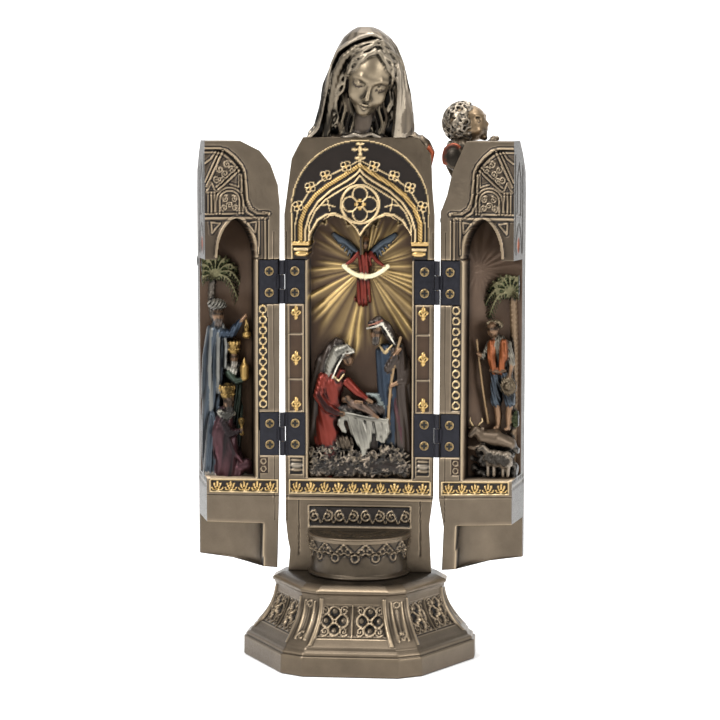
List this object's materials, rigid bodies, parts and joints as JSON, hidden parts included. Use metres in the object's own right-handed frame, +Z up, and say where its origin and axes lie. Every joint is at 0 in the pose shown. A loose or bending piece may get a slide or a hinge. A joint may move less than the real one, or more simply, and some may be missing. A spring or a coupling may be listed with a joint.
{
  "type": "triptych altarpiece",
  "caption": "Standing mother and child figure in bronze-coloured cast resin that opens on brass hinges as a triptych, with a painted nativity, kings and shepherd inside, on a six-sided base",
  "frame": {"origin": "centre of the pedestal's underside, on the table", "axes": "+Z up, -Y towards the front of the open shrine, +X towards the door that carries the child's head; metres"},
  "size_m": [0.1562, 0.1004, 0.295],
  "materials": {
    "base_bronze": "bronze-coloured cast resin, polished edges over a darker wash",
    "figure_bronze": "bronze-coloured cast resin with pewter highlights, and painted scenes in red, blue, green, cream and gold",
    "hinge_steel": "black enamelled steel",
    "aged_brass": "aged brass"
  },
  "bodies": {
    "base": {"pedestal": "base_bronze", "shrine_body": "figure_bronze", "left_lower_hinge_body_leaf": "hinge_steel", "left_lower_hinge_pin": "aged_brass", "left_lower_hinge_body_screw_low": "aged_brass", "left_lower_hinge_body_screw_high": "aged_brass", "left_upper_hinge_body_leaf": "hinge_steel", "left_upper_hinge_pin": "aged_brass", "left_upper_hinge_body_screw_low": "aged_brass", "left_upper_hinge_body_screw_high": "aged_brass", "right_lower_hinge_body_leaf": "hinge_steel", "right_lower_hinge_pin": "aged_brass", "right_lower_hinge_body_screw_low": "aged_brass", "right_lower_hinge_body_screw_high": "aged_brass", "right_upper_hinge_body_leaf": "hinge_steel", "right_upper_hinge_pin": "aged_brass", "right_upper_hinge_body_screw_low": "aged_brass", "right_upper_hinge_body_screw_high": "aged_brass"},
    "left_wing": {"left_door": "figure_bronze", "left_lower_hinge_door_leaf": "hinge_steel", "left_lower_hinge_door_screw_low": "aged_brass", "left_lower_hinge_door_screw_high": "aged_brass", "left_upper_hinge_door_leaf": "hinge_steel", "left_upper_hinge_door_screw_low": "aged_brass", "left_upper_hinge_door_screw_high": "aged_brass"},
    "right_wing": {"right_door": "figure_bronze", "right_lower_hinge_door_leaf": "hinge_steel", "right_lower_hinge_door_screw_low": "aged_brass", "right_lower_hinge_door_screw_high": "aged_brass", "right_upper_hinge_door_leaf": "hinge_steel", "right_upper_hinge_door_screw_low": "aged_brass", "right_upper_hinge_door_screw_high": "aged_brass"}
  },
  "joints": [
    {"name": "left_door_hinge", "type": "hinge", "parent": "base", "child": "left_wing", "pos_m": [-0.03625, -0.0034, 0.141], "axis": [0, 0, 1], "range_deg": [-10, 163.2]},
    {"name": "right_door_hinge", "type": "hinge", "parent": "base", "child": "right_wing", "pos_m": [0.03625, -0.0034, 0.141], "axis": [0, 0, 1], "range_deg": [-169.5, 6]}
  ]
}
